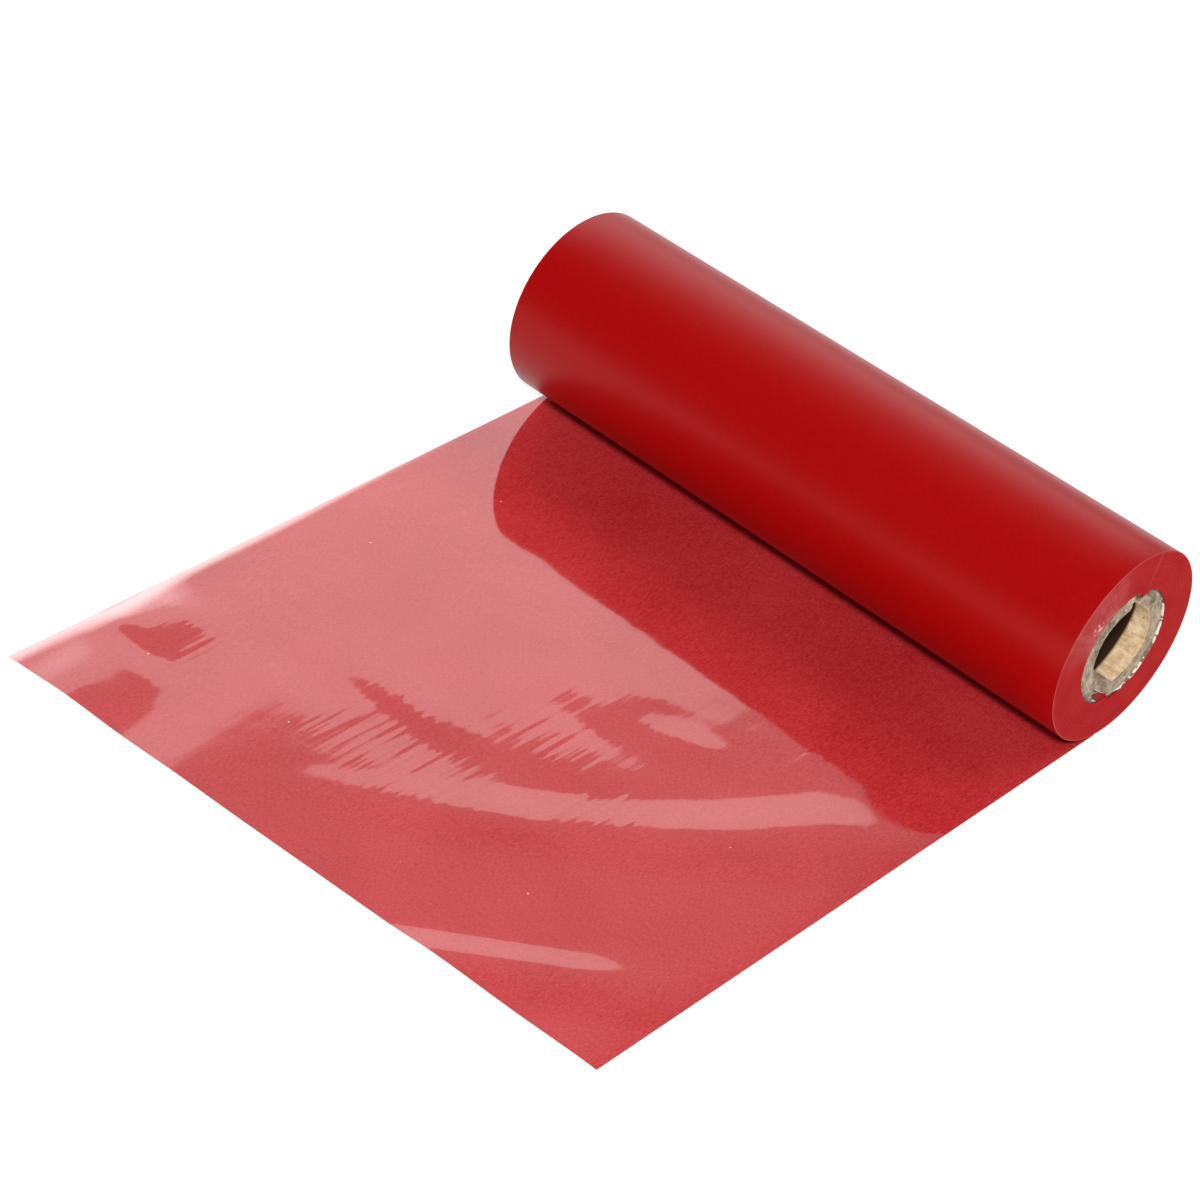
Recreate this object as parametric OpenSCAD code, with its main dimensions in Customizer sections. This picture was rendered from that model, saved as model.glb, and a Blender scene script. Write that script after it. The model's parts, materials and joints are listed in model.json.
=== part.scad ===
// Colour ribbon on a notched paper core, with a length of film unrolled on the table.
// Millimetres. +X runs along the roll's axis, the film unrolls towards -Y, +Z is up.
// The origin is the middle of the footprint, on the surface that the film lies on.

/* [Ribbon] */
// Width of the film, along the roll's axis
ribbon_w = 110; // [50:1:170]
// Thickness of one layer of film with its ink coat
ribbon_t = 0.0067; // [0.0045:0.0001:0.009]
// Length of film wound on the core
wound_len = 74000; // [30000:1000:120000]
// Thickness that the single unrolled layer is given as a solid
sheet_t = 0.2; // [0.1:0.05:0.4]
// Thickness that the outermost turn is given as a solid
outer_turn_t = 0.2; // [0.1:0.05:0.4]

/* [Unrolled film] */
// Length from the roll's lowest line to the cut edge, at the +X side
tail_len_right = 104.8; // [60:0.2:200]
// Length from the roll's lowest line to the cut edge, at the -X side
tail_len_left = 113; // [60:0.2:200]
// Gap between the turning roll and the film that lies under it
roll_gap = 0.04; // [0.02:0.01:0.1]

/* [Core] */
// Radius of the bore, half of half an inch
bore_r = 6.35; // [5:0.05:12.7]
// How far each end of the core stands inside the ribbon's edge
core_inset = 0.3; // [0:0.1:2]
// Thickness of the kraft ply that lines the bore
liner_t = 0.4; // [0.2:0.05:0.8]
// Thickness of one grey board ply
board_t = 0.5; // [0.3:0.05:0.8]
// Thickness of the pale ply on the outside of the core
face_t = 0.4; // [0.2:0.05:0.8]

/* [Notches] */
// Width of the two drive notches across each end of the core
notch_w = 3.5; // [3:0.1:5]
// Depth of the notches, along the core
notch_d = 4; // [2:0.5:8]
// Angle of the notches, from straight up towards +Y
notch_angle = 15; // [0:1:90]
// How far the tip of the film that sags into a notch stays above the bore
sag_tip = 1.05; // [0.3:0.05:1.4]
// Clearance round the sagging film, at a notch's cheeks and at its floor
sag_gap = 0.1; // [0.05:0.05:0.3]

/* [Tapes and trailer] */
// Thickness of the clear end-of-ribbon trailer wound on the core
trailer_t = 0.25; // [0.15:0.05:0.5]
// Thickness of both tapes
tape_t = 0.08; // [0.05:0.01:0.12]
// Width round the core of the tape that anchors the trailer
anchor_w = 14; // [6:1:24]
// Middle of the anchor tape, as an angle from +Y towards straight up
anchor_angle = -20; // [-60:5:20]
// Width round the core of the tape that joins trailer and ribbon
splice_w = 12; // [6:1:20]
// Middle of the splice tape, as an angle from +Y towards straight up
splice_angle = 160; // [140:5:200]
// Distance of the anchor tape's ends from the ribbon's edges
anchor_inset = 0; // [0:0.1:15]
// Distance of the splice tape's ends from the ribbon's edges
splice_inset = 5; // [1:1:15]

/* [Hidden] */
board_plies = 4;
core_len = ribbon_w - 2 * core_inset;
board_r = bore_r + liner_t;
face_r = board_r + board_plies * board_t;
core_r = face_r + face_t;
wrap_r = core_r + trailer_t;
roll_r = sqrt(pow(wrap_r, 2) + wound_len * ribbon_t / PI);
pack_r = roll_r - outer_turn_t;
notch_len = core_inset + notch_d;
sag_len = notch_len - sag_gap;
sag_w = notch_w - 2 * sag_gap;
sag_r = bore_r + sag_tip;
tail_len = max(tail_len_left, tail_len_right);
axis_y = (tail_len - roll_r) / 2;
$fn = 180;

board_names = [for (i = [1:board_plies]) str("core_board_ply_", i)];

// Lays a shape that was made along Z, with its +X up and its +Y at +Y, on the roll's axis
module on_axis() {
    translate([0, axis_y, roll_r]) rotate([0, -90, 0]) children();
}

// A ring of film or paper round the axis
module ring(inner_r, outer_r, length) {
    difference() {
        cylinder(r = outer_r, h = length, center = true);
        cylinder(r = inner_r, h = length + 1, center = true);
    }
}

// The wedge-shaped sector that a tape covers, centred on an angle from +Y towards straight up
module sector(width, middle, inset, reach) {
    half = width / core_r * 90 / PI;
    far = reach / cos(half);
    rotate([0, 0, 90 - middle])
        linear_extrude(height = ribbon_w - 2 * inset, center = true)
            polygon([[0, 0], [far * cos(half), -far * sin(half)], [far * cos(half), far * sin(half)]]);
}

// One strip of tape, bent round a radius
module tape(inner_r, width, middle, inset) {
    intersection() {
        ring(inner_r, inner_r + tape_t, ribbon_w - 2 * inset);
        sector(width, middle, inset, 2 * roll_r);
    }
}

// The two slots across each end of the core
module notches() {
    for (side = [-1, 1])
        rotate([0, 0, notch_angle])
            translate([0, 0, side * (ribbon_w - notch_len)])
                cube([4 * roll_r, notch_w, ribbon_w], center = true);
}

// Puts a section, drawn with the notch along its +X, into each of the four notches
module in_notches() {
    for (side = [-1, 1])
        for (turn = [0, 180])
            rotate([0, 0, notch_angle + turn])
                translate([0, 0, side * (ribbon_w - sag_len) / 2])
                    linear_extrude(height = sag_len, center = true) children();
}

// How far out along the notch a circle meets the sagging film's cheek
function at_cheek(radius) = sqrt(pow(radius, 2) - pow(sag_w / 2, 2));

// The film's sag as a V with its tip towards the axis, filled up to a flat top
module sag_section(tip, shoulder, top) {
    polygon([[tip, 0], [shoulder, sag_w / 2], [top, sag_w / 2], [top, -sag_w / 2], [shoulder, -sag_w / 2]]);
}

// The sag of the trailer's own layers, which ends inside the trailer's ring
module trailer_sag() {
    shoulder = at_cheek(core_r + trailer_t / 2);
    in_notches() sag_section(sag_r, shoulder, shoulder);
}

// The sag of the ribbon above it, which ends inside the pack
module ribbon_sag() {
    in_notches() sag_section(sag_r + trailer_t, at_cheek(wrap_r + trailer_t / 2), wrap_r + trailer_t);
}

// One spiral ply of the core, notched at both ends
module core_ply(inner_r, thickness) {
    on_axis() difference() {
        ring(inner_r, inner_r + thickness, core_len);
        notches();
    }
}

module core_liner_ply() {
    color("tan") core_ply(bore_r, liner_t);
}

module core_board_ply(number) {
    color("rosybrown") core_ply(board_r + (number - 1) * board_t, board_t);
}

module core_face_ply() {
    color("wheat") core_ply(face_r, face_t);
}

module anchor_tape() {
    color("ivory") on_axis() tape(core_r, anchor_w, anchor_angle, anchor_inset);
}

// Clear trailer, pressed over the anchor tape and sagging into the notches
module trailer_film() {
    color("lightgrey") on_axis() difference() {
        union() {
            ring(core_r, wrap_r, ribbon_w);
            trailer_sag();
        }
        tape(core_r, anchor_w, anchor_angle, anchor_inset);
        ribbon_sag();
    }
}

module splice_tape() {
    color("ivory") on_axis() tape(wrap_r, splice_w, splice_angle, splice_inset);
}

// The pack of film between the trailer and the outermost turn
module wound_ribbon() {
    color("firebrick") on_axis() {
        difference() {
            ring(wrap_r, pack_r, ribbon_w);
            tape(wrap_r, splice_w, splice_angle, splice_inset);
        }
        ribbon_sag();
    }
}

module outer_turn() {
    color("crimson") on_axis() ring(pack_r, roll_r, ribbon_w);
}

// The unrolled layer, from its skewed cut edge to a feather edge under the roll
module unrolled_film() {
    color("indianred") difference() {
        translate([0, axis_y, 0]) linear_extrude(height = sheet_t)
            polygon([[-ribbon_w / 2, 0], [-ribbon_w / 2, -tail_len_left],
                     [ribbon_w / 2, -tail_len_right], [ribbon_w / 2, 0]]);
        on_axis() cylinder(r = roll_r + roll_gap, h = ribbon_w + 1, center = true);
    }
}

unrolled_film();
outer_turn();
wound_ribbon();
splice_tape();
trailer_film();
anchor_tape();
core_face_ply();
for (i = [1:board_plies])
    core_board_ply(i);
core_liner_ply();
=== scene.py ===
import json
import math

import bmesh
import bpy
import numpy as np
from mathutils import Matrix, Vector, noise


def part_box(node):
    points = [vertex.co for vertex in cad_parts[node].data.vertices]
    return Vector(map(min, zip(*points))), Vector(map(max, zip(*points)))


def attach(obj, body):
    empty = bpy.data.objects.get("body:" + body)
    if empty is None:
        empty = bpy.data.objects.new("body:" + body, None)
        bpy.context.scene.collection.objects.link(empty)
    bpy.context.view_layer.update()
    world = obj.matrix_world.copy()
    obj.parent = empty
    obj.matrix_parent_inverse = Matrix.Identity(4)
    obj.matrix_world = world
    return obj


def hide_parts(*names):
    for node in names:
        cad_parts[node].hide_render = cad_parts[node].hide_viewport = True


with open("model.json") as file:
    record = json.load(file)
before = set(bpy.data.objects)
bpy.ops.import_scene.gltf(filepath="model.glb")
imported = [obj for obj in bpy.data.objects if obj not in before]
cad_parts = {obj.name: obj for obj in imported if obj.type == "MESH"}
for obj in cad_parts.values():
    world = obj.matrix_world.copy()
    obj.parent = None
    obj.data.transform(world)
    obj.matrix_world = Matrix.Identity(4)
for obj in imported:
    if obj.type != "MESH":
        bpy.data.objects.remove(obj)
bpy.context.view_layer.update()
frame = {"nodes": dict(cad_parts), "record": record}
print("frame loaded,", len(frame["nodes"]), "nodes")

mm = 0.001


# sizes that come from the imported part

def outerRadius(node):
    low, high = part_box(node)
    return (high.z - low.z) / 2


boreMount = next(m for m in frame["record"]["mounts"] if m["name"] == "core_bore")
axisY, axisZ = boreMount["pos_m"][1:]
boreR = boreMount["dims"]["r_mm"] * mm
linerR = outerRadius("core_liner_ply")
coreR = outerRadius("core_face_ply")
wrapR = outerRadius("trailer_film")
packR = outerRadius("wound_ribbon")
rollR = outerRadius("outer_turn")
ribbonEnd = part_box("wound_ribbon")[1].x
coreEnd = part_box("core_liner_ply")[1].x

# the slots across the core's ends, as part of the design
notch = {
    "width": 3.5 * mm,
    "depth": 4.0 * mm,
    "angle": 15.0,  # from straight up towards +Y
    "sagTip": 7.4 * mm,  # how near the axis the film sags into a slot
    "sagSkew": {1: 0.3 * mm, -1: 1.3 * mm},  # the sag's tip off the middle, upper and lower slot
    "sagLess": {1: 0.2 * mm, -1: 0.6 * mm},  # how much shallower than sagTip, in the same order
    "clearance": 0.1 * mm,  # between the sagging film and a slot's cheek or floor
}

# local Z along the roll, local X up, local Y at +Y, as the part's own rings are laid
ontoAxis = Matrix(((0, 0, -1, 0), (0, 1, 0, axisY), (1, 0, 0, axisZ), (0, 0, 0, 1)))
notchTurn = Matrix.Rotation(math.radians(notch["angle"]), 4, "Z")


# camera

shot = {
    "azimuth": 40.14,
    "elevation": 38.15,
    "tilt": 7.43,
    "distance": 0.46053,
    "lens": 97.1,
    "target": (-0.0007, -0.0013, 0.0136),
}


def makeCamera():
    turn, rise = math.radians(shot["azimuth"]), math.radians(shot["elevation"])
    back = Vector((math.sin(turn) * math.cos(rise), -math.cos(turn) * math.cos(rise), math.sin(rise)))
    camera = bpy.data.objects.new("camera", bpy.data.cameras.new("camera"))
    camera.data.lens = shot["lens"]
    camera.data.clip_start = 0.01
    aim = back.to_track_quat("Z", "Y").to_matrix().to_4x4()
    roll = Matrix.Rotation(math.radians(shot["tilt"]), 4, "Z")
    place = Matrix.Translation(Vector(shot["target"]) + back * shot["distance"])
    camera.matrix_world = place @ aim @ roll
    bpy.context.scene.collection.objects.link(camera)
    bpy.context.scene.camera = camera


makeCamera()
print("camera set")


# small helpers for meshes

def finishPiece(name, bm, material, body, nodes, sharpAngle=35):
    bmesh.ops.remove_doubles(bm, verts=bm.verts, dist=1e-7)
    bmesh.ops.recalc_face_normals(bm, faces=bm.faces)
    for face in bm.faces:
        face.smooth = True
    for edge in bm.edges:
        edge.smooth = edge.is_manifold and edge.calc_face_angle(0) < math.radians(sharpAngle)
    mesh = bpy.data.meshes.new(name)
    bm.to_mesh(mesh)
    bm.free()
    piece = bpy.data.objects.new(name, mesh)
    piece.data.materials.append(material)
    bpy.context.scene.collection.objects.link(piece)
    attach(piece, body)
    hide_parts(*nodes)
    return piece


def lathe(profile, steps):
    # profile is a closed loop of (radius, along) points, turned once round local Z
    bm = bmesh.new()
    verts = [bm.verts.new((radius, 0, along)) for radius, along in profile]
    edges = [bm.edges.new((a, b)) for a, b in zip(verts, verts[1:] + verts[:1])]
    bmesh.ops.spin(bm, geom=verts + edges, cent=(0, 0, 0), axis=(0, 0, 1), angle=2 * math.pi,
                   steps=steps, use_merge=True)
    return bm


def smoothStep(t):
    t = np.clip(t, 0, 1)
    return t * t * (3 - 2 * t)


# node groups that several finishes share

def addNode(tree, kind, inputs=None, **settings):
    item = tree.nodes.new(kind)
    for key, value in settings.items():
        setattr(item, key, value)
    for key, value in (inputs or {}).items():
        if isinstance(value, bpy.types.NodeSocket):
            tree.links.new(value, item.inputs[key])
        else:
            item.inputs[key].default_value = value
    return item


def newGroup(name, sockets):
    group = bpy.data.node_groups.new(name, "ShaderNodeTree")
    for label, side, kind in sockets:
        group.interface.new_socket(name=label, in_out=side, socket_type=kind)
    return group, group.nodes.new("NodeGroupInput"), group.nodes.new("NodeGroupOutput")


def makeDustGroup():
    # sparse round specks, as a mask
    group, given, result = newGroup("dustSpecks", [
        ("Vector", "INPUT", "NodeSocketVector"), ("Scale", "INPUT", "NodeSocketFloat"),
        ("Size", "INPUT", "NodeSocketFloat"), ("Mask", "OUTPUT", "NodeSocketFloat")])
    cells = addNode(group, "ShaderNodeTexVoronoi", {"Vector": given.outputs["Vector"],
                                                  "Scale": given.outputs["Scale"]})
    near = addNode(group, "ShaderNodeMath", {0: given.outputs["Size"], 1: cells.outputs["Distance"]},
                   operation="GREATER_THAN")
    pick = addNode(group, "ShaderNodeSeparateColor", {"Color": cells.outputs["Color"]})
    rare = addNode(group, "ShaderNodeMath", {0: pick.outputs["Red"], 1: 0.8}, operation="GREATER_THAN")
    both = addNode(group, "ShaderNodeMath", {0: near.outputs[0], 1: rare.outputs[0]}, operation="MULTIPLY")
    group.links.new(both.outputs[0], result.inputs["Mask"])
    return group


def makeGrainGroup():
    # fine even grain of a coated film, centred on nought
    group, given, result = newGroup("coatGrain", [
        ("Vector", "INPUT", "NodeSocketVector"), ("Scale", "INPUT", "NodeSocketFloat"),
        ("Value", "OUTPUT", "NodeSocketFloat")])
    fine = addNode(group, "ShaderNodeTexNoise", {"Vector": given.outputs["Vector"], "Detail": 3.0,
                                               "Scale": given.outputs["Scale"], "Roughness": 0.6})
    level = addNode(group, "ShaderNodeMath", {0: fine.outputs[0], 1: 0.5}, operation="SUBTRACT")
    group.links.new(level.outputs[0], result.inputs["Value"])
    return group


def makeFibreGroup():
    # short pressed fibres, light and dark, with a height for bump
    group, given, result = newGroup("paperFibres", [
        ("Vector", "INPUT", "NodeSocketVector"), ("Scale", "INPUT", "NodeSocketFloat"),
        ("Dark", "INPUT", "NodeSocketColor"), ("Light", "INPUT", "NodeSocketColor"),
        ("Color", "OUTPUT", "NodeSocketColor"), ("Height", "OUTPUT", "NodeSocketFloat")])
    stretch = addNode(group, "ShaderNodeVectorMath", {0: given.outputs["Vector"], 1: (0.35, 1.0, 1.0)},
                      operation="MULTIPLY")
    strands = addNode(group, "ShaderNodeTexNoise", {"Vector": stretch.outputs[0], "Detail": 6.0,
                                                  "Scale": given.outputs["Scale"], "Roughness": 0.75,
                                                  "Distortion": 0.5})
    clouds = addNode(group, "ShaderNodeTexNoise", {"Vector": given.outputs["Vector"], "Scale": 650.0,
                                                 "Detail": 2.0})
    blend = addNode(group, "ShaderNodeMath", {0: clouds.outputs[0], 1: strands.outputs[0]},
                    operation="ADD")
    spread = addNode(group, "ShaderNodeMapRange", {"Value": blend.outputs[0], "From Min": 0.72,
                                                 "From Max": 1.28})
    tint = addNode(group, "ShaderNodeMix", {"Factor": spread.outputs[0]}, data_type="RGBA")
    group.links.new(given.outputs["Dark"], tint.inputs["A"])
    group.links.new(given.outputs["Light"], tint.inputs["B"])
    group.links.new(tint.outputs["Result"], result.inputs["Color"])
    group.links.new(strands.outputs[0], result.inputs["Height"])
    return group


dustGroup = makeDustGroup()
grainGroup = makeGrainGroup()
fibreGroup = makeFibreGroup()


def startMaterial(name):
    material = bpy.data.materials.new(name)
    material.use_nodes = True
    tree = material.node_tree
    shader = tree.nodes["Principled BSDF"]
    place = addNode(tree, "ShaderNodeTexCoord")
    return material, tree, shader, place.outputs["Object"]


def useGroup(tree, group, inputs):
    return addNode(tree, "ShaderNodeGroup", inputs, node_tree=group)


def mixColors(tree, factor, dark, light):
    # node sockets or plain colours, blended by a factor
    item = addNode(tree, "ShaderNodeMix", {"Factor": factor}, data_type="RGBA")
    for key, value in (("A", dark), ("B", light)):
        socket = item.inputs[key]
        if isinstance(value, bpy.types.NodeSocket):
            tree.links.new(value, socket)
        else:
            socket.default_value = (*value, 1)
    return item.outputs["Result"]


# finishes

backSide = {  # the clear side of the film, over its colour coat
    "color": (0.41, 0.014, 0.016),
    "pale": (0.57, 0.046, 0.050),
    "dust": (0.75, 0.5, 0.48),
    "dustScale": 260.0,
    "dustSize": 0.035,
    "grainScale": 5200.0,
    "grainTone": 2.4,
    "cloudScale": 45.0,
    "roughness": 0.05,
    "roughnessVaries": 0.05,
    "ior": 1.62,
    "combPitch": 0.85 * mm,
    "combLength": 14 * mm,
    "combHeight": 0.011 * mm,
}


def makeBackSide():
    material, tree, shader, place = startMaterial("filmBackSide")
    drawn = addNode(tree, "ShaderNodeMapping", {"Vector": place, "Scale": (1.0, 0.3, 1.0)})
    grain = useGroup(tree, grainGroup, {"Vector": drawn.outputs[0],
                                        "Scale": backSide["grainScale"]})
    clouds = addNode(tree, "ShaderNodeTexNoise", {"Vector": place, "Scale": backSide["cloudScale"],
                                                "Detail": 2.0})
    tone = addNode(tree, "ShaderNodeMath", {0: grain.outputs[0], 1: backSide["grainTone"],
                                          2: clouds.outputs[0]}, operation="MULTIPLY_ADD")
    coat = mixColors(tree, tone.outputs[0], backSide["color"], backSide["pale"])
    dust = useGroup(tree, dustGroup, {"Vector": place, "Scale": backSide["dustScale"],
                                       "Size": backSide["dustSize"]})
    tree.links.new(mixColors(tree, dust.outputs[0], coat, backSide["dust"]), shader.inputs["Base Color"])
    # fine ribs along the film, stronger in some patches than in others
    stretch = addNode(tree, "ShaderNodeMapping", {"Vector": place, "Scale": (
        0.5 / backSide["combPitch"], 0.5 / backSide["combLength"], 1.0)})
    ribs = addNode(tree, "ShaderNodeTexNoise", {"Vector": stretch.outputs[0], "Scale": 1.0, "Detail": 1.0})
    patches = addNode(tree, "ShaderNodeAttribute", attribute_name="comb")
    height = addNode(tree, "ShaderNodeMath", {0: ribs.outputs[0], 1: patches.outputs["Fac"]},
                     operation="MULTIPLY")
    bump = addNode(tree, "ShaderNodeBump", {"Height": height.outputs[0],
                                          "Distance": backSide["combHeight"] * 2})
    tree.links.new(bump.outputs[0], shader.inputs["Normal"])
    rough = addNode(tree, "ShaderNodeMath", {0: grain.outputs[0], 1: backSide["roughnessVaries"],
                                           2: backSide["roughness"]}, operation="MULTIPLY_ADD")
    tree.links.new(rough.outputs[0], shader.inputs["Roughness"])
    shader.inputs["IOR"].default_value = backSide["ior"]
    return material


inkSide = {  # the satin colour coat
    "color": (0.32, 0.0006, 0.001),
    "pale": (0.37, 0.0015, 0.002),
    "dust": (0.7, 0.28, 0.26),
    "dustScale": 190.0,
    "dustSize": 0.03,
    "grainScale": 2600.0,
    "grainTone": 3.0,
    "roughness": 0.34,
    "roughnessVaries": 0.12,
    "shine": 0.15,
    "ior": 1.5,
    "grainHeight": 0.0012 * mm,
}


def makeInkSide():
    material, tree, shader, place = startMaterial("filmInkSide")
    grain = useGroup(tree, grainGroup, {"Vector": place, "Scale": inkSide["grainScale"]})
    tone = addNode(tree, "ShaderNodeMath", {0: grain.outputs[0], 1: inkSide["grainTone"], 2: 0.5},
                   operation="MULTIPLY_ADD")
    coat = mixColors(tree, tone.outputs[0], inkSide["color"], inkSide["pale"])
    dust = useGroup(tree, dustGroup, {"Vector": place, "Scale": inkSide["dustScale"],
                                       "Size": inkSide["dustSize"]})
    tree.links.new(mixColors(tree, dust.outputs[0], coat, inkSide["dust"]), shader.inputs["Base Color"])
    bump = addNode(tree, "ShaderNodeBump", {"Height": grain.outputs[0], "Distance": inkSide["grainHeight"]})
    tree.links.new(bump.outputs[0], shader.inputs["Normal"])
    rough = addNode(tree, "ShaderNodeMath", {0: grain.outputs[0], 1: inkSide["roughnessVaries"],
                                           2: inkSide["roughness"]}, operation="MULTIPLY_ADD")
    tree.links.new(rough.outputs[0], shader.inputs["Roughness"])
    shader.inputs["IOR"].default_value = inkSide["ior"]
    shader.inputs["Specular IOR Level"].default_value = inkSide["shine"]
    return material


def radiusFromAxis(tree, place):
    # distance from the roll's axis, and the vector across it
    across = addNode(tree, "ShaderNodeVectorMath", {0: place, 1: (0, axisY, axisZ)}, operation="SUBTRACT")
    flat = addNode(tree, "ShaderNodeVectorMath", {0: across.outputs[0], 1: (0, 1, 1)}, operation="MULTIPLY")
    reach = addNode(tree, "ShaderNodeVectorMath", {0: flat.outputs[0]}, operation="LENGTH")
    return reach.outputs["Value"], flat.outputs[0]


woundEdge = {  # the end face, where each line is an edge of film
    "color": (0.36, 0.005, 0.006),
    "pale": (0.50, 0.02, 0.02),
    "scuff": (0.9, 0.55, 0.55),
    "roughness": 0.4,
    "shine": 0.01,
    "lineScale": 5200.0,
    "lineHeight": 0.004 * mm,
    # the pale radial streaks set by these angles are a painted highlight
    "highlightAngle": 133.0,  # from +Y towards straight up
    "highlightSpread": 40.0,
    "highlightStrength": 0.4,
    "spotAngle": 138.0,
    "spotRadius": 10.9 * mm,
    "spotSize": 1.4 * mm,
    "creaseAngle": 73.0,
    "creaseSpread": 1.8,
    "creaseStrength": 0.06,
    # the pale line along the outer rim is a painted highlight
    "rimHighlightWidth": 0.22 * mm,
    "rimHighlightStrength": 0.12,
}


def towardsAngle(tree, flat, radius, angle, spread):
    # 1 on a ray from the axis, falling to 0 at the spread, with both angles in degrees
    turn = math.radians(angle)
    along = addNode(tree, "ShaderNodeVectorMath", {0: flat, 1: (0, math.cos(turn), math.sin(turn))},
                    operation="DOT_PRODUCT")
    cosine = addNode(tree, "ShaderNodeMath", {0: along.outputs["Value"], 1: radius}, operation="DIVIDE")
    window = addNode(tree, "ShaderNodeMapRange", {
        "Value": cosine.outputs[0], "From Max": 1.0, "From Min": math.cos(math.radians(spread))},
        interpolation_type="SMOOTHSTEP")
    return window.outputs[0]


def times(tree, *factors):
    product = factors[0]
    for factor in factors[1:]:
        product = addNode(tree, "ShaderNodeMath", {0: product, 1: factor}, operation="MULTIPLY").outputs[0]
    return product


def makeWoundEdge():
    material, tree, shader, place = startMaterial("filmWoundEdge")
    radius, flat = radiusFromAxis(tree, place)
    wander = addNode(tree, "ShaderNodeTexNoise", {"Vector": flat, "Scale": 90.0, "Detail": 1.0})
    drift = addNode(tree, "ShaderNodeMath", {0: wander.outputs[0], 1: 0.0003, 2: radius},
                    operation="MULTIPLY_ADD")
    turns = addNode(tree, "ShaderNodeTexNoise", {"W": drift.outputs[0], "Scale": woundEdge["lineScale"],
                                               "Detail": 3.0, "Roughness": 0.75}, noise_dimensions="1D")
    clouds = addNode(tree, "ShaderNodeTexNoise", {"Vector": flat, "Scale": 260.0, "Detail": 3.0})
    lit = addNode(tree, "ShaderNodeMath", {0: clouds.outputs[0], 1: 0.5, 2: turns.outputs[0]},
                  operation="MULTIPLY_ADD")
    lines = addNode(tree, "ShaderNodeMapRange", {"Value": lit.outputs[0], "From Min": 0.55,
                                               "From Max": 1.05})
    coat = mixColors(tree, lines.outputs[0], woundEdge["color"], woundEdge["pale"])
    # painted highlight: a pale fan of streaks that runs outwards from the core, where the film edges catch
    # the light; also one faint crease
    unit = addNode(tree, "ShaderNodeVectorMath", {0: flat}, operation="NORMALIZE")
    rays = addNode(tree, "ShaderNodeTexNoise", {"Vector": unit.outputs[0], "Scale": 14.0, "Detail": 5.0,
                                              "Roughness": 0.7})
    rayMask = addNode(tree, "ShaderNodeMapRange", {"Value": rays.outputs[0], "From Min": 0.4,
                                                 "From Max": 0.8, "To Min": 0.6, "To Max": 1.3})
    inner = addNode(tree, "ShaderNodeMapRange", {"Value": radius, "From Min": wrapR, "From Max": rollR,
                                               "To Min": 1.0, "To Max": 0.45})
    highlightWindow = towardsAngle(tree, flat, radius, woundEdge["highlightAngle"], woundEdge["highlightSpread"])
    highlighted = times(tree, rayMask.outputs[0], inner.outputs[0], lines.outputs[0],
                    woundEdge["highlightStrength"], highlightWindow)
    creaseWindow = towardsAngle(tree, flat, radius, woundEdge["creaseAngle"], woundEdge["creaseSpread"])
    creased = times(tree, woundEdge["creaseStrength"], clouds.outputs[0], creaseWindow)
    turn = math.radians(woundEdge["spotAngle"])
    middle = (0, woundEdge["spotRadius"] * math.cos(turn), woundEdge["spotRadius"] * math.sin(turn))
    away = addNode(tree, "ShaderNodeVectorMath", {0: flat, 1: middle}, operation="DISTANCE")
    spot = addNode(tree, "ShaderNodeMapRange", {"Value": away.outputs["Value"], "From Max": 0.2 * mm,
                                              "From Min": woundEdge["spotSize"]})
    blotch = addNode(tree, "ShaderNodeTexNoise", {"Vector": flat, "Scale": 1500.0, "Detail": 2.0})
    blotched = addNode(tree, "ShaderNodeMapRange", {"Value": blotch.outputs[0], "From Min": 0.48,
                                                  "From Max": 0.62})
    # painted highlight: a pale line along the outer rim, where the edge catches the light
    rim = addNode(tree, "ShaderNodeMapRange", {"Value": radius, "To Max": woundEdge["rimHighlightStrength"],
                                             "From Min": rollR - woundEdge["rimHighlightWidth"],
                                             "From Max": rollR - 0.1 * mm})
    marks = addNode(tree, "ShaderNodeMath", {0: highlighted, 1: creased}, operation="ADD")
    for extra in (times(tree, spot.outputs[0], blotched.outputs[0]), rim.outputs[0]):
        marks = addNode(tree, "ShaderNodeMath", {0: marks.outputs[0], 1: extra}, operation="ADD",
                        use_clamp=True)
    tree.links.new(mixColors(tree, marks.outputs[0], coat, woundEdge["scuff"]),
                   shader.inputs["Base Color"])
    bump = addNode(tree, "ShaderNodeBump", {"Height": turns.outputs[0],
                                          "Distance": woundEdge["lineHeight"]})
    tree.links.new(bump.outputs[0], shader.inputs["Normal"])
    shader.inputs["Roughness"].default_value = woundEdge["roughness"]
    shader.inputs["Specular IOR Level"].default_value = woundEdge["shine"]
    return material


board = {
    "speck": (0.08, 0.05, 0.03),
    "liner": {"dark": (0.5, 0.3, 0.14), "light": (0.9, 0.7, 0.45), "scale": 2800.0, "lines": 0.0,
              # the liner's darkest colour, with its slant and two depths, is a painted shadow deep in the
              # bore
              "specks": 0.05, "boreShadow": (0.03, 0.012, 0.005), "slant": (0, 0.15, -0.15),
              "shadowStartDepth": 1.9 * mm, "shadowFullDepth": 2.3 * mm},
    "ply": {"dark": (0.14, 0.095, 0.06), "light": (0.68, 0.55, 0.40), "scale": 2200.0, "lines": 0.35,
            "specks": 0.02},
    "face": {"dark": (0.16, 0.11, 0.07), "light": (0.7, 0.59, 0.45), "scale": 2200.0, "lines": 0.45,
             "specks": 0.0},
}


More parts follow.
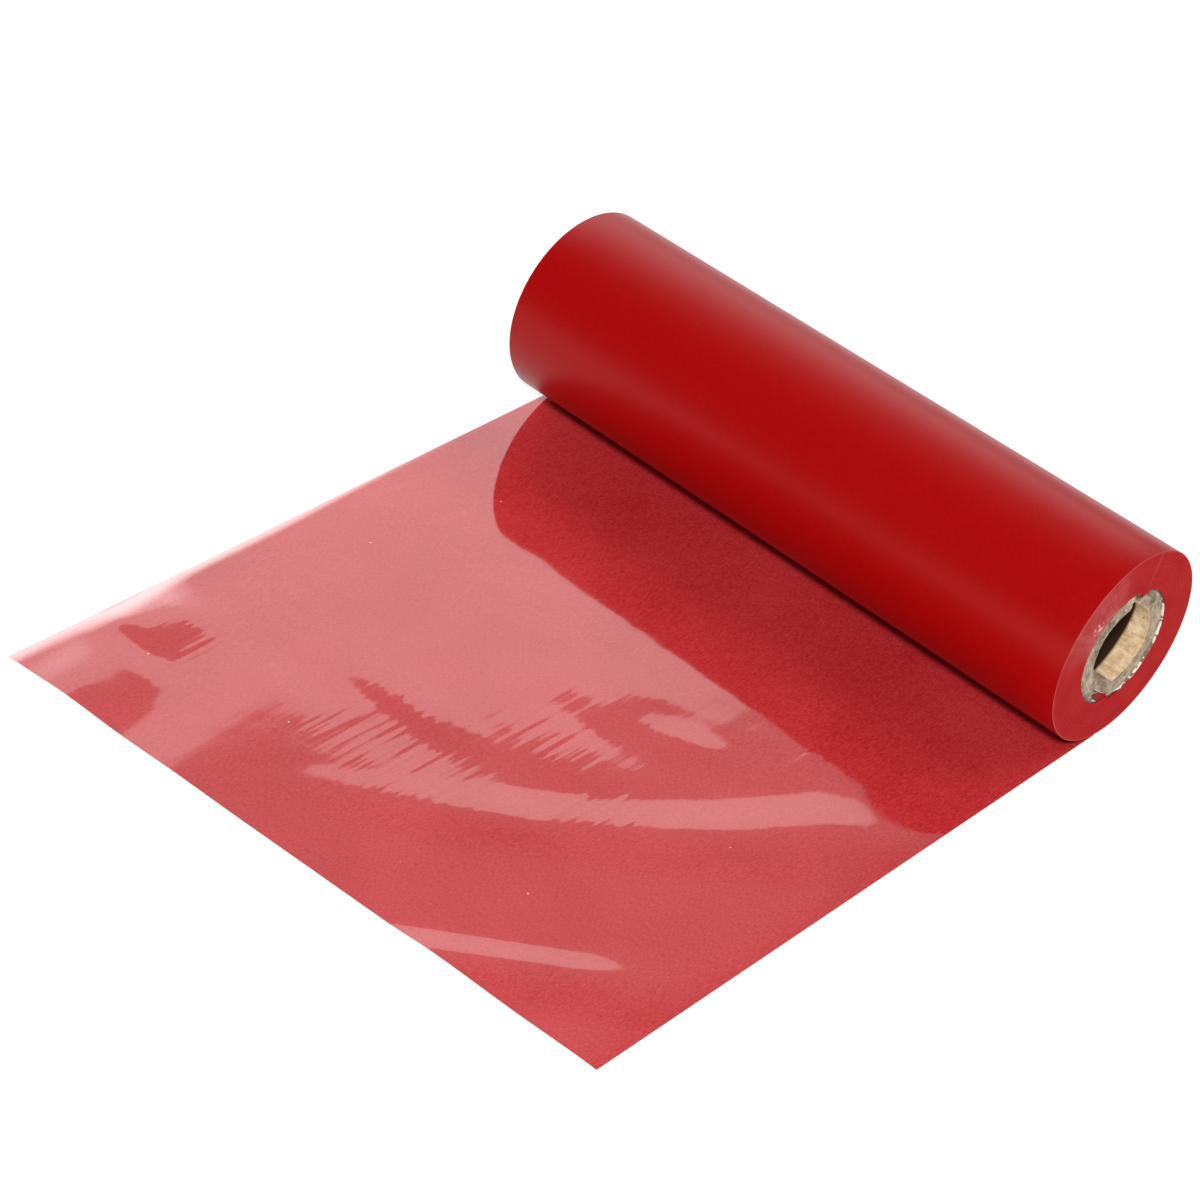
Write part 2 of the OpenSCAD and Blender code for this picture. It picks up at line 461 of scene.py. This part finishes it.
def makeBoard(name, look, bumpHeight=0.05 * mm):
    material, tree, shader, place = startMaterial(name)
    fibres = useGroup(tree, fibreGroup, {"Vector": place, "Scale": look["scale"],
                                         "Dark": (*look["dark"], 1), "Light": (*look["light"], 1)})
    # darker lines where thin layers of the board meet
    radius, flat = radiusFromAxis(tree, place)
    wander = addNode(tree, "ShaderNodeTexNoise", {"Vector": flat, "Scale": 500.0, "Detail": 2.0})
    drift = addNode(tree, "ShaderNodeMath", {0: wander.outputs[0], 1: 0.0004, 2: radius},
                    operation="MULTIPLY_ADD")
    layers = addNode(tree, "ShaderNodeTexNoise", {"W": drift.outputs[0], "Scale": 5200.0, "Detail": 2.0},
                     noise_dimensions="1D")
    lines = addNode(tree, "ShaderNodeMapRange", {"Value": layers.outputs[0], "From Min": 0.36,
                                               "From Max": 0.56, "To Min": look["lines"], "To Max": 0.0})
    shade = mixColors(tree, lines.outputs[0], fibres.outputs["Color"], look["dark"])
    if "boreShadow" in look:
        # painted shadow: the lining is painted nearly black further in along the bore, from a slanting line
        # onwards, where the rim's shadow falls
        spot = addNode(tree, "ShaderNodeSeparateXYZ", {0: place})
        along = addNode(tree, "ShaderNodeMath", {0: spot.outputs["X"]}, operation="ABSOLUTE")
        slant = addNode(tree, "ShaderNodeVectorMath", {0: flat, 1: look["slant"]},
                        operation="DOT_PRODUCT")
        level = addNode(tree, "ShaderNodeMath", {0: along.outputs[0], 1: slant.outputs["Value"]},
                        operation="ADD")
        depth = addNode(tree, "ShaderNodeMapRange", {"Value": level.outputs[0],
                                                   "From Min": coreEnd - look["shadowStartDepth"],
                                                   "From Max": coreEnd - look["shadowFullDepth"]})
        shade = mixColors(tree, depth.outputs[0], shade, look["boreShadow"])
    specks = useGroup(tree, dustGroup, {"Vector": place, "Scale": 1100.0, "Size": look["specks"] * 3})
    tree.links.new(mixColors(tree, specks.outputs[0], shade, board["speck"]),
                   shader.inputs["Base Color"])
    bump = addNode(tree, "ShaderNodeBump", {"Height": fibres.outputs["Height"], "Distance": bumpHeight})
    tree.links.new(bump.outputs[0], shader.inputs["Normal"])
    shader.inputs["Roughness"].default_value = 0.85
    shader.inputs["Specular IOR Level"].default_value = 0.2
    return material


trailer = {
    # the dark gap colour is painted shade of the gap behind the clear film
    "gap": (0.05, 0.045, 0.03),
    "bead": (0.86, 0.8, 0.7),
    "film": (0.4, 0.01, 0.012),
}


def makeTrailerFinish():
    # clear film, painted near black where it stands clear of the core, as painted shade of the gap behind
    # it;
    # bright where tape backs it, and with the ribbon's colour where it hangs into a slot
    material, tree, shader, place = startMaterial("trailerClear")
    radius, flat = radiusFromAxis(tree, place)
    glints = addNode(tree, "ShaderNodeTexNoise", {"Vector": flat, "Scale": 1100.0, "Detail": 1.0})
    side = addNode(tree, "ShaderNodeVectorMath", {0: flat, 1: (0, 0.9, -0.45)}, operation="DOT_PRODUCT")
    backed = addNode(tree, "ShaderNodeMapRange", {"Value": side.outputs["Value"], "From Min": 4.5 * mm,
                                                "From Max": 6.5 * mm, "To Min": -0.35, "To Max": 0.0})
    level = addNode(tree, "ShaderNodeMath", {0: glints.outputs[0], 1: backed.outputs[0]}, operation="ADD")
    step = addNode(tree, "ShaderNodeMapRange", {"Value": level.outputs[0], "From Min": 0.5,
                                              "From Max": 0.57})
    rim = mixColors(tree, step.outputs[0], trailer["gap"], trailer["bead"])
    hanging = addNode(tree, "ShaderNodeMapRange", {"Value": radius, "From Min": coreR - 0.05 * mm,
                                                 "From Max": coreR - 0.15 * mm})
    tree.links.new(mixColors(tree, hanging.outputs[0], rim, trailer["film"]), shader.inputs["Base Color"])
    shader.inputs["Roughness"].default_value = 0.3
    shader.inputs["Specular IOR Level"].default_value = 0.3
    return material


tape = {
    "shade": (0.7, 0.64, 0.52),
    "paper": (0.95, 0.92, 0.85),
    # the dark gap colour is painted shade, between the places where the film presses on the tape
    "gap": (0.24, 0.13, 0.09),
}


def makeTapeFinish():
    material, tree, shader, place = startMaterial("paperTape")
    creases = addNode(tree, "ShaderNodeTexNoise", {"Vector": place, "Scale": 700.0, "Detail": 3.0})
    paper = mixColors(tree, creases.outputs[0], tape["shade"], tape["paper"])
    # bright only where the film presses on it; the gaps between are painted shade
    pressed = addNode(tree, "ShaderNodeTexNoise", {"Vector": place, "Scale": 1100.0, "Detail": 1.0})
    step = addNode(tree, "ShaderNodeMapRange", {"Value": pressed.outputs[0], "From Min": 0.49,
                                              "From Max": 0.54})
    tree.links.new(mixColors(tree, step.outputs[0], tape["gap"], paper),
                   shader.inputs["Base Color"])
    bump = addNode(tree, "ShaderNodeBump", {"Height": creases.outputs[0], "Distance": 0.05 * mm})
    tree.links.new(bump.outputs[0], shader.inputs["Normal"])
    shader.inputs["Roughness"].default_value = 0.45
    return material


filmBack = makeBackSide()
filmInk = makeInkSide()
filmEdge = makeWoundEdge()
linerPaper = makeBoard("kraftLining", board["liner"])
plyBoard = makeBoard("greyBoard", board["ply"])
facePaper = makeBoard("palePly", board["face"])
trailerClear = makeTrailerFinish()
paperTape = makeTapeFinish()
print("finishes made")


# unrolled film

sheet = {
    "thickness": 0.05 * mm,
    "across": 200,  # cells
    "along": 200,
    "underRoll": 1.9 * mm,  # where the film goes out of sight below the roll
    "least": 0.02,  # mm, lowest height over the table
    "clear": 0.1,  # mm more, away from the roll
    "waves": 0.022,  # mm
    "droops": [(-1, 0.2), (1, 0.06)],  # (side, slope) where the side edges come down to the table
}

# Low creases in the laid film. Each has stations of (distance from the roll, place across, height),
# with the width of its flank on the -X side and on the +X side, all in mm.
creases = [
    {"run": [(36, 50, 0), (41, 48, 0.1), (46, 45.5, 0.3), (52, 42, 0.3), (58, 38, 0.3), (65, 32, 0.29),
             (71, 26, 0.27), (80, 16, 0.25), (86, 9, 0.2), (94, 0, 0.1), (100, -8, 0)],
     "left": 11, "right": 14, "rounding": 7},
    {"run": [(76, 20, 0), (81, 14, 0.13), (87, 7, 0.17), (92, 3, 0.1), (97, -2, 0)],
     "left": 24, "right": 10, "rounding": 5},
    {"run": [(86, 49, 0), (93, 44, 0.32), (106, 28, 0.36), (118, 13, 0.34)],
     "left": 8, "right": 15, "rounding": 9},
    {"run": [(58, 20, 0), (62, 17, 0.06), (67, 14, 0.08), (71, 11, 0)],
     "left": 20, "right": 9, "rounding": 4},
    {"run": [(70, -6, 0), (73, -8, 0.17), (76, -9, 0.19), (79, -8, 0)],
     "left": 24, "right": 14, "rounding": 4},
    {"run": [(83, -29, 0), (88, -29, 0.2), (100, -25, 0.18), (116, -21, 0.16)],
     "left": 14, "right": 16, "rounding": 6},
    {"run": [(43, 10, 0), (48, 5, 0.11), (54, 4, 0.1), (59, 8, 0)],
     "left": 14, "right": 10, "rounding": 4},
    {"run": [(46, 21, 0), (50, 19, 0.09), (55, 14, 0)],
     "left": 9, "right": 8, "rounding": 4},
    {"run": [(82, -48, 0), (88, -48, 0.3), (95, -50, 0.34), (100, -54, 0.1), (103, -54, 0)],
     "left": 10, "right": 11, "rounding": 4},
    {"run": [(97, -46, 0), (101, -45, 0.27), (108, -44, 0.33), (118, -43, 0.3)],
     "left": 9, "right": 13, "rounding": 4},
    {"run": [(50, -46, 0), (62, -47, 0.08), (80, -47, 0.12), (96, -47, 0.2), (118, -47, 0.14)],
     "left": 22, "right": 20, "rounding": 12},
]


def roundedLine(d, stations, values, rounding):
    # a line through the stations, with its corners rounded off over a length in mm
    step = 0.5
    fine = np.arange(-40, 160, step)
    window = np.hanning(int(rounding / step) | 1)
    line = np.convolve(np.interp(fine, stations, values), window / window.sum(), mode="same")
    return np.interp(d, fine, line)


def creaseHeight(x, d, run, left, right, rounding):
    stations, places, heights = zip(*run)
    t = x - roundedLine(d, stations, places, rounding)
    rise = np.where(t < 0, smoothStep(1 + t / left), smoothStep(1 - t / right))
    return roundedLine(d, stations, heights, rounding) * rise


def freeHeight(x, d):
    # mm, before the side edges are let down to the table
    waves = np.array([noise.noise(Vector((a / 9, b / 16, 0.5)))
                      + 0.4 * noise.noise(Vector((a / 4, b / 5, 7))) for a, b in zip(x, d)])
    waves = (waves + 1) * sheet["waves"] * smoothStep((d - 20) / 15)
    clear = sheet["clear"] * smoothStep((d - 30) / 40)
    return sheet["least"] + clear + waves + sum(creaseHeight(x, d, **crease) for crease in creases)


def filmHeight(x, d):
    # metres, from millimetres across the film and away from the roll
    height = freeHeight(x, d)
    half = ribbonEnd / mm
    for side, slope in sheet["droops"]:
        edge = freeHeight(0 * x + side * half, d)
        inwards = np.clip((half - side * x) / (2 * edge / slope), 0, 1)
        height = height - edge * (1 - inwards) ** 2
    return np.maximum(height, 0) * mm


# patches of fine ribs, as (place across, distance from the roll, half width, half length, strength) in mm
combs = [(22, 70, 5, 6, 3.0), (-4, 83, 12, 8, 2.2), (8, 66, 8, 5, 1.6), (-16, 74, 4, 4, 1.6),
         (33, 39, 5, 4, 1.2), (-43, 90, 6, 6, 2.0), (-33, 70, 7, 6, 0.8), (-16, 87, 5, 4, 1.2),
         (24, 84, 8, 8, 0.8), (0, 60, 20, 15, 0.5)]


def combStrength(x, d):
    strength = 0.22 + 0 * x
    for midX, midD, halfX, halfD, most in combs:
        away = np.hypot((x - midX) / halfX, (d - midD) / halfD)
        strength = strength + most * smoothStep(1.5 - away)
    return strength


def makeUnrolledFilm():
    corners = [v.co for v in frame["nodes"]["unrolled_film"].data.vertices]
    leftCut = min(c.y for c in corners if c.x < 0)
    rightCut = min(c.y for c in corners if c.x > 0)
    bm = bmesh.new()
    bmesh.ops.create_grid(bm, x_segments=sheet["across"], y_segments=sheet["along"], size=1)
    flat = np.array([v.co[:2] for v in bm.verts])
    share = (flat[:, 0] + 1) / 2
    x = flat[:, 0] * ribbonEnd
    cut = leftCut + (rightCut - leftCut) * share
    top = axisY - sheet["underRoll"]
    y = cut + (top - cut) * (flat[:, 1] + 1) / 2
    z = filmHeight(x / mm, (axisY - y) / mm)
    comb = bm.verts.layers.float.new("comb")
    for vert, place, strength in zip(bm.verts, zip(x, y, z), combStrength(x / mm, (axisY - y) / mm)):
        vert.co = place
        vert[comb] = strength
    bmesh.ops.solidify(bm, geom=bm.faces[:], thickness=-sheet["thickness"])
    piece = finishPiece("unrolledFilm", bm, filmBack, "laid_film", ["unrolled_film"])
    piece.data.materials.append(filmInk)
    for face in piece.data.polygons:
        face.material_index = 1 if face.normal.z < -0.5 else 0
    return piece


makeUnrolledFilm()
print("film laid")


# wound film

winding = {
    "steps": 360,
    "rings": 44,
    "ringShift": 0.035 * mm,  # how far single turns stand out of the end face
    "sagSteps": 5,
    "sagFades": 2.2 * mm,  # thickness of windings that share in the sag
    "trailerSagFades": 8 * mm,
    "trailerInset": 0.12 * mm,  # how far the trailer's ends stand inside the ribbon's
    "crinkle": 0.25 * mm,
    "crinkleOut": 0.1 * mm,
}


def sagProfile(across, tip, cheek, skew):
    # the sagging film's distance from the axis, with a narrow tip that flares out to the cheeks
    half = notch["width"] / 2 - notch["clearance"]
    reach = half - skew if across > skew else half + skew
    return tip + (cheek - tip) * min(1, abs(across - skew) / reach) ** 0.35


def pullIntoNotches(bm, innerR, tip, plainEnd, fadeOut):
    # moves the inner layers near the ends towards the axis, in the slots only
    half = notch["width"] / 2 - notch["clearance"]
    cheek = math.sqrt(innerR ** 2 - half ** 2)
    for vert in bm.verts:
        radius = math.hypot(vert.co.x, vert.co.y)
        depth = (abs(vert.co.z) - plainEnd) / (ribbonEnd - plainEnd)
        if depth <= 0:
            continue
        angle = math.atan2(vert.co.y, vert.co.x) - math.radians(notch["angle"])
        side = 1 if math.cos(angle) > 0 else -1
        across = radius * math.sin(angle) * side
        if abs(math.sin(angle)) > 0.5 or abs(across) > half:
            continue
        skew = -notch["sagSkew"][side]
        along = radius * math.cos(angle) * side
        start = math.sqrt(max(innerR ** 2 - across ** 2, 0))
        sag = start - sagProfile(across, tip + notch["sagLess"][side], cheek, skew)
        share = max(0.0, 1 - (radius - innerR) / fadeOut) ** 2
        moved = along - sag * share * depth ** 4
        u, v = moved * side, across * side
        turn = math.radians(notch["angle"])
        vert.co.x = u * math.cos(turn) - v * math.sin(turn)
        vert.co.y = u * math.sin(turn) + v * math.cos(turn)


def endStations(inner):
    # places along one end where the sag grows, from the slot's floor to the end face
    floor = coreEnd - notch["depth"] + notch["clearance"]
    return floor, [(inner, floor + (ribbonEnd - floor) * i / winding["sagSteps"])
                   for i in range(winding["sagSteps"])]


def makeWoundRibbon():
    floor, stations = endStations(wrapR)
    rings = []
    for i in range(winding["rings"] + 1):
        share = i / winding["rings"]
        shift = noise.noise(Vector((i * 1.7, 3.1, 0.4))) * winding["ringShift"]
        rings.append((wrapR + (packR - wrapR) * share, ribbonEnd - abs(shift)))
    right = stations + rings
    profile = [(r, -z) for r, z in right] + [(r, z) for r, z in reversed(right)]
    bm = lathe(profile, winding["steps"])
    pullIntoNotches(bm, wrapR, notch["sagTip"] + wrapR - coreR, floor, winding["sagFades"])
    bm.transform(ontoAxis)
    return finishPiece("woundRibbon", bm, filmEdge, "roll", ["wound_ribbon"])


def makeTrailer():
    floor, stations = endStations(coreR)
    end = ribbonEnd - winding["trailerInset"]
    right = stations + [(coreR, end), (wrapR, end)] + [(wrapR, floor)]
    profile = [(r, -z) for r, z in right] + [(r, z) for r, z in reversed(right)]
    bm = lathe(profile, winding["steps"])
    pullIntoNotches(bm, coreR, notch["sagTip"], floor, winding["trailerSagFades"])
    for vert in bm.verts:
        if abs(vert.co.z) > end - 0.01 * mm:
            crinkle = min(noise.noise(vert.co * 900) * winding["crinkle"], winding["crinkleOut"])
            vert.co.z += math.copysign(1, vert.co.z) * crinkle
    bm.transform(ontoAxis)
    piece = finishPiece("trailerFilm", bm, trailerClear, "roll", ["trailer_film"])
    piece.data.materials.append(paperTape)
    for face in piece.data.polygons:
        # the tape behind shows through the faces along the core
        reach = math.hypot(face.center.y - axisY, face.center.z - axisZ)
        alongCore = abs(face.normal.x) < 0.5 and abs(face.center.x) < end
        face.material_index = int(alongCore and reach > coreR - 0.05 * mm)
    return piece


def makeOuterTurn():
    edge = 0.05 * mm
    steps = 24
    outside = [(rollR - 0.004 * mm * (1 + math.sin(i * 1.9)), (2 * i / steps - 1) * (ribbonEnd - 2 * edge))
               for i in range(steps + 1)]
    corner = [(rollR - 0.3 * edge, ribbonEnd - 0.3 * edge), (rollR - edge, ribbonEnd), (packR, ribbonEnd)]
    profile = [(radius, -along) for radius, along in reversed(corner)] + outside + corner
    bm = lathe(profile, winding["steps"])
    bm.transform(ontoAxis)
    piece = finishPiece("outerTurn", bm, filmInk, "roll", ["outer_turn"])
    piece.data.materials.append(filmEdge)
    for face in piece.data.polygons:
        face.material_index = int(abs(face.center.x) > ribbonEnd - 0.01 * mm)
    return piece


makeWoundRibbon()
makeTrailer()
makeOuterTurn()
print("roll wound")


# paper core

core = {
    "steps": 288,
    "slotSteps": 5,  # rows of faces along a slot
    "ragged": 0.07 * mm,  # unevenness of the cut ends
    "crush": 0.9 * mm,  # how far one lip of each slot is pushed in
    "shift": [0.0, 0.05, -0.03, 0.06, 0.02, -0.04],  # mm that each ply's end stands out
}


def corePly(innerR, outerR, shift):
    # one notched tube of paper, built across local Z and laid on the axis
    bm = bmesh.new()
    step = 2 * math.pi / core["steps"]
    slotHalf = round(math.asin(notch["width"] / (innerR + outerR)) / step)
    loops = []
    for radius in (innerR, outerR):
        verts = bmesh.ops.create_circle(bm, segments=core["steps"], radius=radius)["verts"]
        edgeAngle = math.asin(notch["width"] / 2 / radius)
        for vert in verts:
            angle = math.atan2(vert.co.y, vert.co.x)
            index = round(angle / step)
            for side in (0, core["steps"] // 2, -core["steps"] // 2):
                if abs(index - side) == slotHalf:
                    angle = side * step + math.copysign(edgeAngle, index - side)
            vert.co = (radius * math.cos(angle), radius * math.sin(angle), 0)
        loops.append(verts)
    bmesh.ops.bridge_loops(bm, edges=bm.edges[:])
    plain = coreEnd - notch["depth"]
    bmesh.ops.translate(bm, verts=bm.verts, vec=(0, 0, -plain))
    caps = {}
    start = bm.faces[:]
    made = bmesh.ops.extrude_face_region(bm, geom=start, use_keep_orig=True)["geom"]
    bmesh.ops.translate(bm, verts=[g for g in made if isinstance(g, bmesh.types.BMVert)],
                        vec=(0, 0, 2 * plain))
    caps[1] = [g for g in made if isinstance(g, bmesh.types.BMFace)]
    caps[-1] = start
    for side, faces in caps.items():
        faces = [f for f in faces if abs(f.calc_center_median().y) > notch["width"] / 2]
        for _ in range(core["slotSteps"]):
            made = bmesh.ops.extrude_face_region(bm, geom=faces)["geom"]
            verts = [g for g in made if isinstance(g, bmesh.types.BMVert)]
            bmesh.ops.translate(bm, verts=verts, vec=(0, 0, side * notch["depth"] / core["slotSteps"]))
            faces = [g for g in made if isinstance(g, bmesh.types.BMFace)]
        for vert in verts:
            rag = noise.noise(vert.co * 700) * core["ragged"]
            vert.co.z += side * (rag + shift * mm)
    crushLips(bm, plain)
    bm.transform(notchTurn)
    bm.transform(ontoAxis)
    return bm


def crushLips(bm, plain):
    # one lip of each slot is rounded over from use
    for vert in bm.verts:
        depth = (abs(vert.co.z) - plain) / notch["depth"]
        side = 1 if vert.co.x > 0 else -1
        across = vert.co.y * side - notch["width"] / 2
        if depth > 0 and -1e-5 < across < 1.6 * mm:
            near = (1 - across / (1.6 * mm)) * depth ** 2
            vert.co.z -= math.copysign(core["crush"] * near ** 2, vert.co.z)


def makeCore():
    plies = [("core_liner_ply", boreR, linerR, linerPaper, "core_kraft")]
    inner = linerR
    for number in range(1, 5):
        node = f"core_board_ply_{number}"
        outer = outerRadius(node)
        plies.append((node, inner, outer, plyBoard, "core_board"))
        inner = outer
    plies.append(("core_face_ply", inner, coreR, facePaper, "core_face"))
    for (node, innerR, outerR, material, slot), shift in zip(plies, core["shift"]):
        words = node.split("_")
        name = words[0] + "".join(w.capitalize() for w in words[1:])
        piece = finishPiece(name, corePly(innerR, outerR, shift), material, "roll", [node])
        if material == linerPaper:
            piece.data.materials.append(plyBoard)
            for face in piece.data.polygons:
                face.material_index = int(abs(face.normal.x) > 0.7)


makeCore()
print("core cut")


# tapes keep the part's shapes
for node in ("anchor_tape", "splice_tape"):
    strip = frame["nodes"][node]
    strip.data.materials.clear()
    strip.data.materials.append(paperTape)


# floor, world and lights

studio = {
    "floor": {"color": (0.3, 0.3, 0.3), "glow": 0.8},
    "surround": 0.1,
    "glow": {"radiance": 0.93, "from": (-0.75, 0.55, 0.38), "edge": 0.72, "core": 0.97},
    "softbox": {"size": (1.22, 0.52), "radiance": 1.3, "place": (-0.740, 0.646, 0.527),
                "aim": (-0.210, 0.114, -0.133), "across": (-0.597, -0.796, 0.0995)},
    "key": {"size": (0.2, 0.2), "radiance": 128.0, "place": (0.574, -0.766, 1.02), "aim": (0, 0, 0.01),
            "across": (0.6, 0.8, 0)},
    "back": {"size": (0.6, 0.6), "radiance": 4.3, "place": (0.4, 0.7, 1.0), "aim": (0, 0, 0.01),
             "across": (1, 0, 0)},
    "low": {"size": (1.0, 0.3), "radiance": 2.4, "place": (0.0, -1.3, 0.22), "aim": (0, 0, 0.01),
            "across": (1, 0, 0)},
    "hot": {"size": (0.36, 0.46), "radiance": 5.0, "fade": True, "place": (-0.726, 0.380, 0.319),
            "aim": (-0.072, 0.0, -0.110), "across": (0, 1, 0)},
}


def makeFloor():
    bm = bmesh.new()
    bmesh.ops.create_grid(bm, x_segments=1, y_segments=1, size=4)
    mesh = bpy.data.meshes.new("floor")
    bm.to_mesh(mesh)
    bm.free()
    floor = bpy.data.objects.new("floor", mesh)
    material, tree, shader, place = startMaterial("paleFloor")
    shader.inputs["Base Color"].default_value = (*studio["floor"]["color"], 1)
    shader.inputs["Roughness"].default_value = 0.9
    shader.inputs["Emission Color"].default_value = (1, 1, 1, 1)
    shader.inputs["Emission Strength"].default_value = studio["floor"]["glow"]
    floor.data.materials.append(material)
    bpy.context.scene.collection.objects.link(floor)


def makeWorld():
    # dim all round, brighter behind the roll on its -X side; pale wherever it is seen directly
    world = bpy.data.worlds.new("studio")
    world.use_nodes = True
    tree = world.node_tree
    look = studio["glow"]
    place = addNode(tree, "ShaderNodeTexCoord")
    facing = addNode(tree, "ShaderNodeVectorMath", {0: place.outputs["Generated"],
                                                  1: Vector(look["from"]).normalized()},
                     operation="DOT_PRODUCT")
    glow = addNode(tree, "ShaderNodeMapRange", {
        "Value": facing.outputs["Value"], "From Min": look["edge"], "From Max": look["core"],
        "To Min": studio["surround"], "To Max": look["radiance"]}, interpolation_type="SMOOTHSTEP")
    ray = addNode(tree, "ShaderNodeLightPath")
    seen = addNode(tree, "ShaderNodeMix", {"Factor": ray.outputs["Is Camera Ray"], "A": glow.outputs[0],
                                         "B": 0.95})
    background = tree.nodes["Background"]
    background.inputs["Color"].default_value = (1, 1, 1, 1)
    tree.links.new(seen.outputs[0], background.inputs["Strength"])
    bpy.context.scene.world = world


def makeLight(name, size, radiance, place, aim, across, fade=False):
    lamp = bpy.data.lights.new(name, "AREA")
    lamp.shape = "RECTANGLE"
    lamp.size, lamp.size_y = size
    lamp.energy = radiance * math.pi * size[0] * size[1]
    if fade:
        # brightest in the middle of the lamp, falling to nothing at its rim
        lamp.use_nodes = True
        tree = lamp.node_tree
        spot = addNode(tree, "ShaderNodeNewGeometry")
        parts = addNode(tree, "ShaderNodeSeparateXYZ", {0: spot.outputs["Parametric"]})
        hills = []
        for axis in ("X", "Y"):
            rest = addNode(tree, "ShaderNodeMath", {0: 1.0, 1: parts.outputs[axis]}, operation="SUBTRACT")
            hills.append(times(tree, 4.0, parts.outputs[axis], rest.outputs[0]))
        tree.links.new(times(tree, *hills), tree.nodes["Emission"].inputs["Strength"])
    light = bpy.data.objects.new(name, lamp)
    back = (Vector(place) - Vector(aim)).normalized()
    side = (Vector(across) - Vector(across).dot(back) * back).normalized()
    turn = Matrix((side, back.cross(side), back)).transposed().to_4x4()
    light.matrix_world = Matrix.Translation(place) @ turn
    bpy.context.scene.collection.objects.link(light)
    return light


def makeStudio():
    makeFloor()
    makeWorld()
    for name in ("softbox", "key", "back", "low", "hot"):
        makeLight(name, **studio[name])
    bpy.context.scene.view_settings.view_transform = "Standard"


makeStudio()
print("studio lit")
